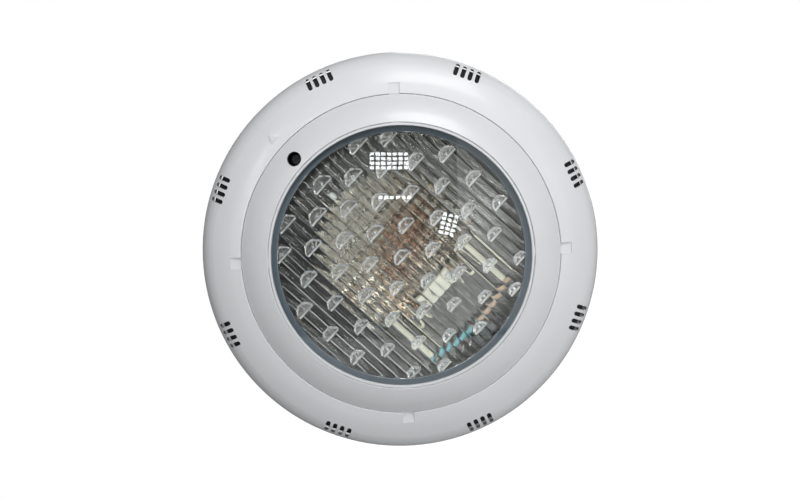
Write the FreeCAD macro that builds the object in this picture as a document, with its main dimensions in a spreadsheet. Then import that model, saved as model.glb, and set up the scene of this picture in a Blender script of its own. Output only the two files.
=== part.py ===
import FreeCAD, Part
import math
import os
import types
import Sketcher

# Underwater pool light, surface mounted, 12 V capsule lamp behind a ribbed lens.
#
# Frame: origin at the centre of the wall bracket's back face, +Z up, the wall behind it
# towards +Y and the lens looking along -Y.  Most pieces are drawn facing the reader: local x to
# the right, local y up and local z outwards from the wall.  Upright pieces, such as the
# lamp and the cable gland, are drawn with local z up instead.  Lengths are in millimetres.

Vector = FreeCAD.Vector

DRIVING_SIZES = {
    # trim ring
    "overall_radius": 135.0,
    "trim_back": 2.0,
    "trim_wall": 2.6,
    "trim_edge_height": 7.0,
    "shoulder_radius": 125.0,
    "shoulder_height": 23.0,
    "trim_crown_curve": 60.0,
    "trim_shoulder_curve": 19.1,
    "vent_inner_radius": 122.6,
    "vent_outer_radius": 131.2,
    "vent_width": 3.0,
    "vent_pitch": 5.0,
    "notch_width": 7.6,
    "notch_depth": 7.2,
    "notch_floor": 27.4,
    # parting line between the trim ring and the bezel
    "parting_radius": 105.2,
    "parting_height": 29.5,
    "body_gap": 0.3,
    "edge_round": 0.5,
    # bezel
    "bezel_inner_radius": 86.5,
    "bezel_crown_height": 39.6,
    "bezel_curve": 51.0,
    "bezel_wall": 2.8,
    "flange_radius": 118.5,
    "flange_top": 21.0,
    "flange_bottom": 18.5,
    "bezel_screw_circle": 112.0,
    # lens, its ring and its gasket
    "window_radius": 84.3,
    "lens_edge_height": 38.9,
    "lens_crown_height": 44.0,
    "lens_thickness": 4.0,
    "lens_flange_radius": 88.0,
    "lens_flange_top": 36.2,
    "lens_flange_bottom": 34.8,
    "gasket_inner_radius": 80.8,
    # housing
    "cavity_radius": 81.6,
    "housing_wall": 2.8,
    "housing_back": 9.0,
    "floor_height": 11.4,
    "housing_corner": 6.0,
    "seat_radius": 88.6,
    "seat_height": 33.2,
    "seat_thickness": 2.5,
    "web_thickness": 2.5,
    "skirt_back": 8.0,
    "skirt_wall": 2.2,
    "back_flange_radius": 130.6,
    "back_flange_thickness": 1.4,
    # retaining screw and its tunnel
    "screw_offset": 93.6,
    "access_radius": 4.75,
    "tunnel_wall": 1.6,
    "tunnel_back": 14.0,
    "tunnel_floor": 17.5,
    "tunnel_front": 28.6,
    "screw_radius": 2.5,
    "screw_head_radius": 4.4,
    "screw_head_height": 3.5,
    "washer_thickness": 0.8,
    # wall bracket
    "bracket_thickness": 3.5,
    "bracket_inner_radius": 86.0,
    "bracket_outer_radius": 106.0,
    "hub_radius": 42.0,
    "conduit_radius": 20.0,
    "arm_width": 26.0,
    "wall_screw_circle": 75.0,
    "wall_screw_hole": 2.75,
    "boss_height": 13.5,
    "insert_radius": 4.0,
    "peg_side": 35.0,
    "peg_drop": 93.0,
    "peg_radius": 4.0,
    # lamp, lampholder and reflector
    "lamp_height": 24.0,
    "lamp_radius": 6.0,
    "lamp_glass": 0.9,
    "lamp_foot": -26.8,
    "lamp_dome": 8.0,
    "pin_side": 3.175,
    "pin_radius": 0.65,
    "holder_width": 26.0,
    "holder_depth": 11.0,
    "holder_top": -27.0,
    "holder_bottom": -37.0,
    "holder_screw_up": -32.0,
    "holder_screw_side": 9.5,
    "foot_screw_side": 18.5,
    "capsule_shoulder": -18.0,
    "filament_up": -4.0,
    "reflector_up": 9.0,
    "reflector_radius": 48.0,
    "reflector_rim_height": 19.8,
    "reflector_dip": 6.7,
    "reflector_sheet": 0.8,
    "lug_circle": 50.5,
    # cable gland and inner wiring
    "gland_height": 21.2,
    "gland_thread_radius": 6.0,
    "gland_bore_radius": 3.6,
    "gland_hex": 15.0,
    "wire_height": 22.0,
    "sleeve_side": 35.0,
    "sleeve_top": -27.2,
    "sleeve_bottom": -61.0,
    "core_radius": 1.6,
    "lead_radius": 1.0,
}

VENT_GROUPS = 8
VENTS_IN_GROUP = 4
NOTCHES = 4
TRIM_RIBS = 16
TRIM_FINGERS = 8
BEZEL_SCREWS = 8
HOUSING_RIBS = 12
WALL_SCREWS = 4
REFLECTOR_LUGS = 3

document = FreeCAD.newDocument("PoolLight")
sheet = document.addObject("Spreadsheet::Sheet", "Sizes")
for row, (alias, number) in enumerate(DRIVING_SIZES.items(), start=1):
    sheet.set(f"A{row}", alias)
    sheet.set(f"B{row}", str(number))
    sheet.setAlias(f"B{row}", alias)
document.recompute()


class Dim:
    """A length that knows its number and the spreadsheet formula that it comes from."""

    def __init__(self, number, formula):
        self.number = number
        self.formula = formula

    def __add__(self, other):
        other = as_dim(other)
        return Dim(self.number + other.number, f"({self.formula} + {other.formula})")

    __radd__ = __add__

    def __sub__(self, other):
        return self + (-as_dim(other))

    def __rsub__(self, other):
        return as_dim(other) - self

    def __neg__(self):
        return Dim(-self.number, f"(-1 * {self.formula})")

    def __mul__(self, factor):
        factor = as_dim(factor)
        return Dim(self.number * factor.number, f"({self.formula} * {factor.formula})")

    __rmul__ = __mul__

    def __truediv__(self, divisor):
        divisor = as_dim(divisor)
        return Dim(self.number / divisor.number, f"({self.formula} / {divisor.formula})")


def as_dim(value):
    if isinstance(value, Dim):
        return value
    return Dim(float(value), f"({float(value)!r})")


size = types.SimpleNamespace(
    **{alias: Dim(number, f"Sizes.{alias}") for alias, number in DRIVING_SIZES.items()}
)


def dome_radius(half_width, rise):
    """The radius of an arc that rises from its half width to the middle."""
    return (half_width * half_width + rise * rise) / (2 * rise)


def bind(target, path, value):
    """Tie a property to its spreadsheet formula."""
    target.setExpression(path, as_dim(value).formula)


# ---------------------------------------------------------------- bodies and sketches

sub_parts = []


def keep(piece, name, x=0, up=0, out=0, upright=False, turn=0):
    """Name a sub-part and stand it in the light's frame."""
    piece.Label = name
    spin = FreeCAD.Rotation(Vector(0, 0, 1), turn)
    facing = FreeCAD.Rotation(Vector(1, 0, 0), 0 if upright else 90)
    piece.Placement = FreeCAD.Placement(Vector(0, 0, 0), facing.multiply(spin))
    bind(piece, "Placement.Base.x", x)
    bind(piece, "Placement.Base.y", -as_dim(out))
    bind(piece, "Placement.Base.z", up)
    sub_parts.append(piece)
    return piece


def new_body(name, **place):
    body = document.addObject("PartDesign::Body", name)
    body.AllowCompound = True
    return keep(body, name, **place)


def origin_feature(body, role):
    return next(item for item in body.Origin.OriginFeatures if item.Role == role)


def sketch_on(body, name, plane, height=0, shift=0, spin=0):
    """A sketch on one of the body's planes: raised by height, moved by shift, turned by spin."""
    sketch = body.newObject("Sketcher::SketchObject", f"{body.Name}_{name}")
    sketch.AttachmentSupport = [(origin_feature(body, plane), "")]
    sketch.MapMode = "FlatFace"
    turned = FreeCAD.Rotation(Vector(0, 0, 1), spin)
    sketch.AttachmentOffset = FreeCAD.Placement(Vector(0, 0, 0), turned)
    bind(sketch, "AttachmentOffset.Base.z", height)
    bind(sketch, "AttachmentOffset.Base.x", shift)
    return sketch


def hold_point(sketch, geometry, end, x, y):
    """Hold one point of a sketch at distances x and y from the sketch's origin."""
    for kind, axis, distance in (("DistanceX", -2, as_dim(x)), ("DistanceY", -1, as_dim(y))):
        if abs(distance.number) < 1e-9:
            sketch.addConstraint(Sketcher.Constraint("PointOnObject", geometry, end, axis))
            continue
        index = sketch.addConstraint(
            Sketcher.Constraint(kind, -1, 1, geometry, end, distance.number)
        )
        bind(sketch, f"Constraints[{index}]", distance)


def arc_between(start, end, radius):
    """The short arc from start to end, turning left for a positive radius."""
    chord = end - start
    middle = (start + end) * 0.5
    reach = math.sqrt(max(radius * radius - chord.Length**2 / 4, 0.0))
    left = Vector(-chord.y, chord.x, 0)
    left.normalize()
    centre = middle + left * (reach if radius > 0 else -reach)
    first, last = (start, end) if radius > 0 else (end, start)
    begin = math.atan2(first.y - centre.y, first.x - centre.x)
    finish = math.atan2(last.y - centre.y, last.x - centre.x)
    if finish <= begin:
        finish += 2 * math.pi
    circle = Part.Circle(centre, Vector(0, 0, 1), abs(radius))
    return Part.ArcOfCircle(circle, begin, finish)


def outline(sketch, points):
    """A closed outline.  Each point is (x, y), or (x, y, radius) where an arc arrives at it."""
    places = [Vector(as_dim(point[0]).number, as_dim(point[1]).number, 0) for point in points]
    starts = []
    ends = []
    for index, place in enumerate(places):
        following = (index + 1) % len(points)
        radius = points[following][2:]
        if radius:
            curve = arc_between(place, places[following], as_dim(radius[0]).number)
            geometry = sketch.addGeometry(curve, False)
            forward = as_dim(radius[0]).number > 0
            bound = sketch.addConstraint(
                Sketcher.Constraint("Radius", geometry, abs(as_dim(radius[0]).number))
            )
            bind(sketch, f"Constraints[{bound}]", radius[0] if forward else -as_dim(radius[0]))
        else:
            geometry = sketch.addGeometry(Part.LineSegment(place, places[following]), False)
            forward = True
        starts.append((geometry, 1 if forward else 2))
        ends.append((geometry, 2 if forward else 1))
    for index, point in enumerate(points):
        before = ends[index - 1]
        sketch.addConstraint(Sketcher.Constraint("Coincident", *before, *starts[index]))
        hold_point(sketch, *starts[index], point[0], point[1])


def rectangle(x, y, width, height):
    """An upright rectangle with its centre at x, y."""
    x, y, half_width, half_height = as_dim(x), as_dim(y), as_dim(width) / 2, as_dim(height) / 2

    def draw(sketch):
        outline(
            sketch,
            [
                (x - half_width, y - half_height),
                (x + half_width, y - half_height),
                (x + half_width, y + half_height),
                (x - half_width, y + half_height),
            ],
        )

    return draw


def circles(radius, *centres):
    def draw(sketch):
        for x, y in centres:
            place = Vector(as_dim(x).number, as_dim(y).number, 0)
            round_edge = Part.Circle(place, Vector(0, 0, 1), as_dim(radius).number)
            geometry = sketch.addGeometry(round_edge, False)
            hold_point(sketch, geometry, 3, x, y)
            bound = sketch.addConstraint(
                Sketcher.Constraint("Radius", geometry, as_dim(radius).number)
            )
            bind(sketch, f"Constraints[{bound}]", radius)

    return draw


def mirrored(x, y):
    """A point and its mirror image across the upright axis."""
    return [(x, y), (-x, y)]


def polygon(points):
    return lambda sketch: outline(sketch, points)


def hexagon(across_flats):
    """A hexagon about the sketch's origin, points up and down."""
    corner = as_dim(across_flats) / math.sqrt(3)
    angles = [math.radians(90 + 60 * index) for index in range(6)]
    return polygon([(corner * math.cos(a), corner * math.sin(a)) for a in angles])


def slots(inner, outer, width, pitch, count):
    """Parallel round-ended slots that run outwards along x, spread evenly about it."""
    half = as_dim(width) / 2

    def draw(sketch):
        for index in range(count):
            middle = as_dim(pitch) * (index - (count - 1) / 2)
            outline(
                sketch,
                [
                    (inner + half, middle - half, half),
                    (outer - half, middle - half),
                    (outer, middle, half),
                    (outer - half, middle + half, half),
                    (inner + half, middle + half),
                    (inner, middle, half),
                ],
            )

    return draw


def revolve(body, name, points, shift=0):
    """Turn an outline of (radius, height) points about the body's own z axis."""
    sketch = sketch_on(body, f"{name}_outline", "XZ_Plane", shift=shift)
    outline(sketch, points)
    turned = body.newObject("PartDesign::Revolution", f"{body.Name}_{name}")
    turned.Profile = sketch
    turned.ReferenceAxis = (sketch, ["V_Axis"])
    turned.Angle = 360
    return turned


def extrude(body, kind, name, draw, start, length, plane="XY_Plane", spin=0):
    """Add (Pad) or cut (Pocket) a drawn shape from start outwards over length."""
    sketch = sketch_on(body, f"{name}_outline", plane, height=start, spin=spin)
    draw(sketch)
    feature = body.newObject(f"PartDesign::{kind}", f"{body.Name}_{name}")
    feature.Profile = sketch
    bind(feature, "Length", length)
    feature.Reversed = kind == "Pocket"
    return feature


def pad(body, name, draw, start, length, **where):
    return extrude(body, "Pad", name, draw, start, length, **where)


def pocket(body, name, draw, start, length, **where):
    return extrude(body, "Pocket", name, draw, start, length, **where)


def repeat_round(body, feature, count):
    """Repeat one feature evenly about the body's z axis."""
    pattern = body.newObject("PartDesign::PolarPattern", f"{feature.Name}_round")
    pattern.Originals = [feature]
    pattern.Axis = (origin_feature(body, "Z_Axis"), [""])
    pattern.Angle = 360
    pattern.Occurrences = count
    body.Tip = pattern
    return pattern


def turned_rectangle(radius, angle, length, width):
    """A rectangle centred at radius along angle, its length pointing outwards."""
    cos, sin = math.cos(math.radians(angle)), math.sin(math.radians(angle))
    radius, half_length, half_width = as_dim(radius), as_dim(length) / 2, as_dim(width) / 2
    corners = []
    for along, across in ((-1, -1), (1, -1), (1, 1), (-1, 1)):
        reach = radius + half_length * along
        side = half_width * across
        corners.append((reach * cos - side * sin, reach * sin + side * cos))
    return polygon(corners)


def on_circle(radius, count, first=0.0):
    """Evenly spaced places on a circle."""
    places = []
    for index in range(count):
        angle = math.radians(first + 360 / count * index)
        places.append((as_dim(radius) * math.cos(angle), as_dim(radius) * math.sin(angle)))
    return places


def tube(points, radius, bend):
    """A round wire along straight runs that are joined by arcs of one radius."""
    edges = []
    start = points[0]
    for index in range(1, len(points) - 1):
        corner = points[index]
        arriving = (corner - points[index - 1]).normalize()
        leaving = (points[index + 1] - corner).normalize()
        turn = arriving.getAngle(leaving)
        back = bend * math.tan(turn / 2)
        first = corner - arriving * back
        last = corner + leaving * back
        towards = (leaving - arriving).normalize()
        centre = corner + towards * (bend / math.cos(turn / 2))
        middle = centre - towards * bend
        edges.append(Part.LineSegment(start, first).toShape())
        edges.append(Part.Arc(first, middle, last).toShape())
        start = last
    edges.append(Part.LineSegment(start, points[-1]).toShape())
    path = Part.Wire(edges)
    direction = (points[1] - points[0]).normalize()
    section = Part.Wire([Part.Circle(points[0], direction, radius).toShape()])
    return path.makePipeShell([section], True, False)


# ---------------------------------------------------------------- wall side


def wall_bracket():
    """A moulded ring and hub that is screwed to the pool wall and carries the light."""
    body = new_body("wall_bracket")
    plate = size.bracket_thickness
    rim = plate + 2.0
    revolve(
        body,
        "ring",
        [
            (size.bracket_inner_radius, 0),
            (size.bracket_outer_radius, 0),
            (size.bracket_outer_radius, rim),
            (size.bracket_outer_radius - 2.0, rim),
            (size.bracket_outer_radius - 2.0, plate),
            (size.bracket_inner_radius + 2.0, plate),
            (size.bracket_inner_radius + 2.0, rim),
            (size.bracket_inner_radius, rim),
        ],
    )
    revolve(
        body,
        "hub",
        [
            (size.conduit_radius, 0),
            (size.hub_radius, 0),
            (size.hub_radius, plate),
            (size.conduit_radius + 2.5, plate),
            (size.conduit_radius + 2.5, rim),
            (size.conduit_radius, rim),
        ],
    )
    inner = size.hub_radius - 1.5
    outer = size.bracket_inner_radius + 1.0
    arm_middle = (inner + outer) / 2
    arm = pad(
        body, "arm", turned_rectangle(arm_middle, 45, outer - inner, size.arm_width), 0, plate
    )
    repeat_round(body, arm, WALL_SCREWS)
    rib = pad(
        body, "arm_rib", turned_rectangle(arm_middle, 45, outer - inner, 2.0), 0, rim
    )
    repeat_round(body, rib, WALL_SCREWS)
    landing = pad(
        body, "landing", circles(6.5, on_circle(size.wall_screw_circle, 1, 45)[0]), 0, rim
    )
    repeat_round(body, landing, WALL_SCREWS)
    pad(body, "boss", circles(7.0, (0, size.screw_offset)), 0, size.boss_height)
    pegs = mirrored(size.peg_side, -size.peg_drop)
    pad(body, "pegs", circles(size.peg_radius, *pegs), 0, size.boss_height)
    pocket(
        body, "insert_seat", circles(size.insert_radius, (0, size.screw_offset)), 5.0, 20.0
    )
    hole = pocket(
        body,
        "wall_hole",
        circles(size.wall_screw_hole, on_circle(size.wall_screw_circle, 1, 45)[0]),
        -1.0,
        20.0,
    )
    repeat_round(body, hole, WALL_SCREWS)


def threaded_insert():
    """The brass insert that the retaining screw turns into."""
    body = new_body("threaded_insert", up=size.screw_offset)
    bore = size.screw_radius + 0.08
    revolve(
        body,
        "sleeve",
        [
            (bore, 5.0),
            (size.insert_radius, 5.0),
            (size.insert_radius, size.boss_height),
            (bore + 0.4, size.boss_height),
            (bore, size.boss_height - 0.4),
        ],
    )


# ---------------------------------------------------------------- housing


def housing():
    """The white moulded bowl that holds the lamp, with its flange, ribs and sockets."""
    body = new_body("housing")
    outer = size.cavity_radius + size.housing_wall
    corner = size.housing_corner
    web_top = size.flange_bottom
    web_under = web_top - size.web_thickness
    revolve(
        body,
        "bowl",
        [
            (0, size.housing_back),
            (outer - corner, size.housing_back),
            (outer, size.housing_back + corner, corner),
            (outer, web_under),
            (size.flange_radius - size.skirt_wall, web_under),
            (size.flange_radius - size.skirt_wall, size.skirt_back),
            (size.back_flange_radius, size.skirt_back),
            (size.back_flange_radius, size.skirt_back + size.back_flange_thickness),
            (size.flange_radius, size.skirt_back + size.back_flange_thickness),
            (size.flange_radius, web_top),
            (outer, web_top),
            (outer, size.seat_height - size.seat_thickness),
            (size.seat_radius, size.seat_height - size.seat_thickness),
            (size.seat_radius, size.seat_height),
            (size.cavity_radius, size.seat_height),
            (size.cavity_radius, size.floor_height + corner),
            (size.cavity_radius - corner, size.floor_height, -corner),
            (0, size.floor_height),
        ],
    )
    rib = pad(
        body,
        "web_rib",
        turned_rectangle(
            (outer + size.flange_radius - size.skirt_wall) / 2,
            15,
            size.flange_radius - size.skirt_wall - outer + 1.0,
            2.0,
        ),
        size.skirt_back + 1.5,
        web_top - size.skirt_back - 3.0,
    )
    repeat_round(body, rib, HOUSING_RIBS)
    boss_place = on_circle(size.bezel_screw_circle, 1, 22.5)[0]
    boss = pad(body, "screw_boss", circles(4.0, boss_place), 9.0, web_under - 8.0)
    repeat_round(body, boss, BEZEL_SCREWS)
    tunnel_outer = size.access_radius + size.tunnel_wall
    tunnel_centre = (0, size.screw_offset)
    pad(
        body,
        "tunnel",
        circles(tunnel_outer, tunnel_centre),
        size.tunnel_back,
        size.tunnel_front - size.tunnel_back,
    )
    sockets = mirrored(size.peg_side, -size.peg_drop)
    pad(body, "sockets", circles(size.peg_radius + 2.4, *sockets), 6.2, web_under - 5.2)
    pad(
        body,
        "gland_pad",
        rectangle(0, -outer + 2.0, 23.0, 7.2),
        size.housing_back,
        size.gland_height + 8.5 - size.housing_back,
    )
    posts = [
        (x, y + size.reflector_up)
        for x, y in on_circle(size.lug_circle, REFLECTOR_LUGS, 90)
    ]
    post_top = size.reflector_rim_height - size.reflector_sheet
    pad(body, "reflector_posts", circles(3.5, *posts), 10.0, post_top - 10.0)

    pilot = pocket(body, "screw_pilot", circles(1.85, boss_place), 0, 40.0)
    repeat_round(body, pilot, BEZEL_SCREWS)
    pocket(body, "tunnel_bore", circles(size.access_radius, tunnel_centre), size.tunnel_floor, 40)
    pocket(body, "tunnel_hole", circles(size.screw_radius + 0.3, tunnel_centre), 0, 40)
    pocket(body, "socket_bores", circles(size.peg_radius + 0.3, *sockets), 0, web_under)
    pocket(body, "post_pilots", circles(1.5, *posts), size.floor_height + 0.6, 20)
    feet = mirrored(size.foot_screw_side, size.holder_screw_up)
    pocket(body, "foot_pilots", circles(1.5, *feet), 8.0, 10.0)
    pocket(
        body,
        "gland_window",
        rectangle(0, -size.flange_radius + 14.25, 27.0, 36.5),
        0,
        web_top + 1.0,
    )
    pocket(
        body,
        "gland_hole",
        circles(size.gland_thread_radius + 0.1, (0, size.gland_height)),
        outer - 20.0,
        30.0,
        plane="XZ_Plane",
    )


# ---------------------------------------------------------------- front


def bezel():
    """The domed white ring that clamps the lens, with a hidden flange for its screws."""
    body = new_body("bezel")
    radius = size.parting_radius
    wall = size.bezel_wall
    crown = size.bezel_crown_height
    edge = size.edge_round
    under_curve = size.bezel_curve - wall
    seat = size.lens_flange_top + 1.8
    revolve(
        body,
        "shell",
        [
            (size.bezel_inner_radius, seat),
            (size.bezel_inner_radius + 2.5, seat),
            (size.bezel_inner_radius + 2.5, size.seat_height + 0.3),
            (size.bezel_inner_radius + 5.0, size.seat_height + 0.3),
            (size.bezel_inner_radius + 5.0, crown - 4.5),
            (radius - wall, size.parting_height - 2.1, -under_curve),
            (radius - wall, size.flange_bottom),
            (size.flange_radius, size.flange_bottom),
            (size.flange_radius, size.flange_top),
            (radius, size.flange_top),
            (radius, size.parting_height - 0.6),
            (radius - 0.4, size.parting_height, edge),
            (size.bezel_inner_radius + edge, crown, size.bezel_curve),
            (size.bezel_inner_radius, crown - edge, edge),
        ],
    )
    pocket(body, "access_hole", circles(size.access_radius, (0, size.screw_offset)), 20, 30)
    hole_place = on_circle(size.bezel_screw_circle, 1, 22.5)[0]
    hole = pocket(body, "screw_hole", circles(2.0, hole_place), size.flange_bottom - 1.0, 4.0)
    repeat_round(body, hole, BEZEL_SCREWS)
    pocket(
        body,
        "cable_notch",
        rectangle(0, -size.flange_radius + 4.0, 12.0, 28.0),
        size.flange_bottom - 1.0,
        7.9,
    )


def bezel_screws():
    """Eight stainless pan-head screws through the bezel's flange."""
    body = new_body("bezel_screws", turn=22.5)
    head = size.flange_top
    screw = revolve(
        body,
        "screw",
        [
            (0, head - 10.5),
            (1.2, head - 10.5),
            (1.75, head - 9.5),
            (1.75, head),
            (3.4, head),
            (3.4, head + 1.2),
            (2.4, head + 2.2, 1.6),
            (0, head + 2.2),
        ],
        shift=size.bezel_screw_circle,
    )
    repeat_round(body, screw, BEZEL_SCREWS)


def lens_ring():
    """The narrow white ring between the lens and the bezel, with four short tabs."""
    body = new_body("lens_ring")
    inner = size.window_radius + size.body_gap
    outer = size.bezel_inner_radius - size.body_gap
    bottom = size.lens_flange_top
    top = size.bezel_crown_height - 0.1
    revolve(
        body,
        "ring",
        [
            (inner, bottom),
            (size.lens_flange_radius + 0.4, bottom),
            (size.lens_flange_radius + 0.4, bottom + 1.8),
            (outer, bottom + 1.8),
            (outer, top - 0.4),
            (outer - 0.4, top, 0.4),
            (inner + 0.4, top),
            (inner, top - 0.4, 0.4),
        ],
    )
    tab = pad(
        body,
        "tab",
        turned_rectangle(outer - 0.2, 45, 0.9, 6.0),
        bottom + 1.0,
        top - bottom - 1.4,
    )
    repeat_round(body, tab, NOTCHES)


def lens():
    """The clear domed lens with its clamping flange."""
    body = new_body("lens")
    curve = dome_radius(size.window_radius, size.lens_crown_height - size.lens_edge_height)
    inner_crown = size.lens_crown_height - size.lens_thickness
    inside = size.gasket_inner_radius - 0.6
    inner_edge = size.lens_edge_height - 3.2
    inner_curve = dome_radius(inside, inner_crown - inner_edge)
    revolve(
        body,
        "dome",
        [
            (0, inner_crown),
            (inside, inner_edge, -inner_curve),
            (inside + 0.8, size.lens_flange_bottom),
            (size.lens_flange_radius, size.lens_flange_bottom),
            (size.lens_flange_radius, size.lens_flange_top),
            (size.window_radius, size.lens_flange_top),
            (size.window_radius, size.lens_edge_height),
            (0, size.lens_crown_height, curve),
        ],
    )


def lens_gasket():
    """The flat silicone gasket under the lens flange, seen through the lens's rim."""
    body = new_body("lens_gasket")
    revolve(
        body,
        "ring",
        [
            (size.gasket_inner_radius, size.seat_height),
            (size.lens_flange_radius + 0.4, size.seat_height),
            (size.lens_flange_radius + 0.4, size.lens_flange_bottom + 0.8),
            (size.lens_flange_radius + 0.05, size.lens_flange_bottom + 0.8),
            (size.lens_flange_radius + 0.05, size.lens_flange_bottom),
            (size.gasket_inner_radius, size.lens_flange_bottom),
        ],
    )


# ---------------------------------------------------------------- trim ring


def trim_ring():
    """The wide domed outer ring with its vents, pry notches, ribs and snap fingers."""
    body = new_body("trim_ring")
    inner = size.parting_radius + size.body_gap
    edge = size.edge_round
    wall = size.trim_wall
    lip_bottom = size.flange_top + size.body_gap
    revolve(
        body,
        "shell",
        [
            (inner, lip_bottom),
            (inner + 2.4, lip_bottom),
            (inner + 2.4, size.parting_height - 3.0),
            (
                size.shoulder_radius - 1.23,
                size.shoulder_height - 2.29,
                wall - size.trim_crown_curve,
            ),
            (
                size.overall_radius - wall,
                size.trim_edge_height,
                wall - size.trim_shoulder_curve,
            ),
            (size.overall_radius - wall, size.trim_back),
            (size.overall_radius, size.trim_back),
            (size.overall_radius, size.trim_edge_height),
            (size.shoulder_radius, size.shoulder_height, size.trim_shoulder_curve),
            (inner + edge, size.parting_height, size.trim_crown_curve),
            (inner, size.parting_height - edge, edge),
        ],
    )
    rib = pad(
        body, "rib", turned_rectangle(size.overall_radius - 9.0, 11.25, 10.0, 1.6), 10.5, 5.5
    )
    repeat_round(body, rib, TRIM_RIBS)
    finger = pad(
        body,
        "finger",
        turned_rectangle(size.flange_radius + 1.6, 0, 2.0, 14.0),
        11.0,
        size.shoulder_height - 11.0,
    )
    repeat_round(body, finger, TRIM_FINGERS)
    arrow_bottom = inner + 6.0
    pad(
        body,
        "up_arrow",
        polygon([(-3.2, arrow_bottom), (3.2, arrow_bottom), (0, arrow_bottom + 4.6)]),
        size.parting_height - 3.0,
        2.35,
    )
    group = pocket(
        body,
        "vents",
        slots(
            size.vent_inner_radius,
            size.vent_outer_radius,
            size.vent_width,
            size.vent_pitch,
            VENTS_IN_GROUP,
        ),
        0,
        size.parting_height,
        spin=22.5,
    )
    repeat_round(body, group, VENT_GROUPS)
    notch = pocket(
        body,
        "pry_notch",
        turned_rectangle(
            inner + size.notch_depth / 2 - 0.5, 45, size.notch_depth + 1.0, size.notch_width
        ),
        size.notch_floor,
        5.0,
    )
    repeat_round(body, notch, NOTCHES)
    pocket(body, "cable_notch", rectangle(0, -inner - 1.0, 12.0, 7.0), 0, 26.0)


# ---------------------------------------------------------------- retaining screw


def retaining_screw():
    """The stainless screw at the top that pulls the light onto its bracket."""
    body = new_body("retaining_screw", up=size.screw_offset)
    under_head = size.tunnel_floor + size.washer_thickness
    top = under_head + size.screw_head_height
    revolve(
        body,
        "screw",
        [
            (0, 6.0),
            (size.screw_radius - 0.8, 6.0),
            (size.screw_radius, 7.0),
            (size.screw_radius, under_head),
            (size.screw_head_radius, under_head),
            (size.screw_head_radius, top - 1.5),
            (size.screw_head_radius - 1.5, top, 1.6),
            (0, top),
        ],
    )
    for name, width, height in (("cross_across", 4.6, 1.1), ("cross_up", 1.1, 4.6)):
        pocket(body, name, rectangle(0, 0, width, height), top - 1.8, 3.0)


def screw_washer():
    body = new_body("screw_washer", up=size.screw_offset)
    revolve(
        body,
        "ring",
        [
            (size.screw_radius + 0.2, size.tunnel_floor),
            (size.screw_head_radius, size.tunnel_floor),
            (size.screw_head_radius, size.tunnel_floor + size.washer_thickness),
            (size.screw_radius + 0.2, size.tunnel_floor + size.washer_thickness),
        ],
    )


# ---------------------------------------------------------------- lamp and reflector


def reflector():
    """A shallow bright dish on three lugs, notched for the lampholder."""
    body = new_body("reflector", up=size.reflector_up)
    rim_top = size.reflector_rim_height
    rim_under = rim_top - size.reflector_sheet
    dish = size.reflector_radius - 2.0
    curve = dome_radius(dish, size.reflector_dip)
    revolve(
        body,
        "dish",
        [
            (0, rim_under - size.reflector_dip),
            (dish, rim_under, curve),
            (size.reflector_radius, rim_under),
            (size.reflector_radius, rim_top),
            (dish, rim_top),
            (0, rim_top - size.reflector_dip, -curve),
        ],
    )
    lug = pad(
        body,
        "lug",
        turned_rectangle(size.lug_circle, 90, 9.0, 8.0),
        rim_under,
        size.reflector_sheet,
    )
    repeat_round(body, lug, REFLECTOR_LUGS)
    hole = pocket(
        body, "lug_hole", circles(1.8, (0, size.lug_circle)), rim_under - 1.0, 3.0
    )
    repeat_round(body, hole, REFLECTOR_LUGS)
    pocket(body, "holder_notch", rectangle(0, -size.reflector_radius + 6.5, 29.6, 17.0), 0, 40)


def small_screws(name, centres, seat, length, **place):
    """Small pan-head screws, one solid each."""
    body = new_body(name, **place)
    for index, (x, y) in enumerate(centres):
        pad(body, f"shank_{index}", circles(1.4, (x, y)), as_dim(seat) - length, length)
        pad(body, f"head_{index}", circles(2.6, (x, y)), seat, 1.6)


def reflector_screws():
    places = on_circle(size.lug_circle, REFLECTOR_LUGS, 90)
    small_screws(
        "reflector_screws", places, size.reflector_rim_height, 6.5, up=size.reflector_up
    )


def lampholder_bracket():
    """The bent metal foot that lifts the lampholder off the housing floor."""
    body = new_body("lampholder_bracket")
    floor = size.floor_height
    top = size.lamp_height - size.holder_depth / 2
    sheet_metal = 1.2
    inner, outer, foot = 13.0, 14.2, 23.0
    pad(
        body,
        "strip",
        polygon(
            [
                (-foot, floor),
                (-inner, floor),
                (-inner, top - sheet_metal),
                (inner, top - sheet_metal),
                (inner, floor),
                (foot, floor),
                (foot, floor + sheet_metal),
                (outer, floor + sheet_metal),
                (outer, top),
                (-outer, top),
                (-outer, floor + sheet_metal),
                (-foot, floor + sheet_metal),
            ]
        ),
        -size.holder_screw_up - 4.0,
        8.0,
        plane="XZ_Plane",
    )
    feet = mirrored(size.foot_screw_side, size.holder_screw_up)
    pocket(body, "foot_holes", circles(1.8, *feet), 0, 14.0)
    holds = mirrored(size.holder_screw_side, size.holder_screw_up)
    pocket(body, "block_holes", circles(1.5, *holds), 14.5, 10.0)


def bracket_screws():
    places = mirrored(size.foot_screw_side, size.holder_screw_up)
    small_screws("bracket_screws", places, size.floor_height + 1.2, 3.4)


def lampholder():
    """The ceramic block with two pin holes in its upper face."""
    body = new_body("lampholder", out=size.lamp_height, upright=True)
    height = size.holder_top - size.holder_bottom
    pad(
        body,
        "block",
        rectangle(0, 0, size.holder_width, size.holder_depth),
        size.holder_bottom,
        height,
    )
    pins = circles(size.pin_radius + 0.1, *mirrored(size.pin_side, 0))
    pocket(body, "pin_holes", pins, size.holder_top - 8.2, 12)
    screws = mirrored(size.holder_screw_side, size.holder_screw_up)
    half = size.holder_depth / 2
    pocket(body, "screw_holes", circles(1.5, *screws), -half - 1.0, 20, plane="XZ_Plane")
    pocket(body, "screw_seats", circles(3.0, *screws), half - 2.4, 10, plane="XZ_Plane")


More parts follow.
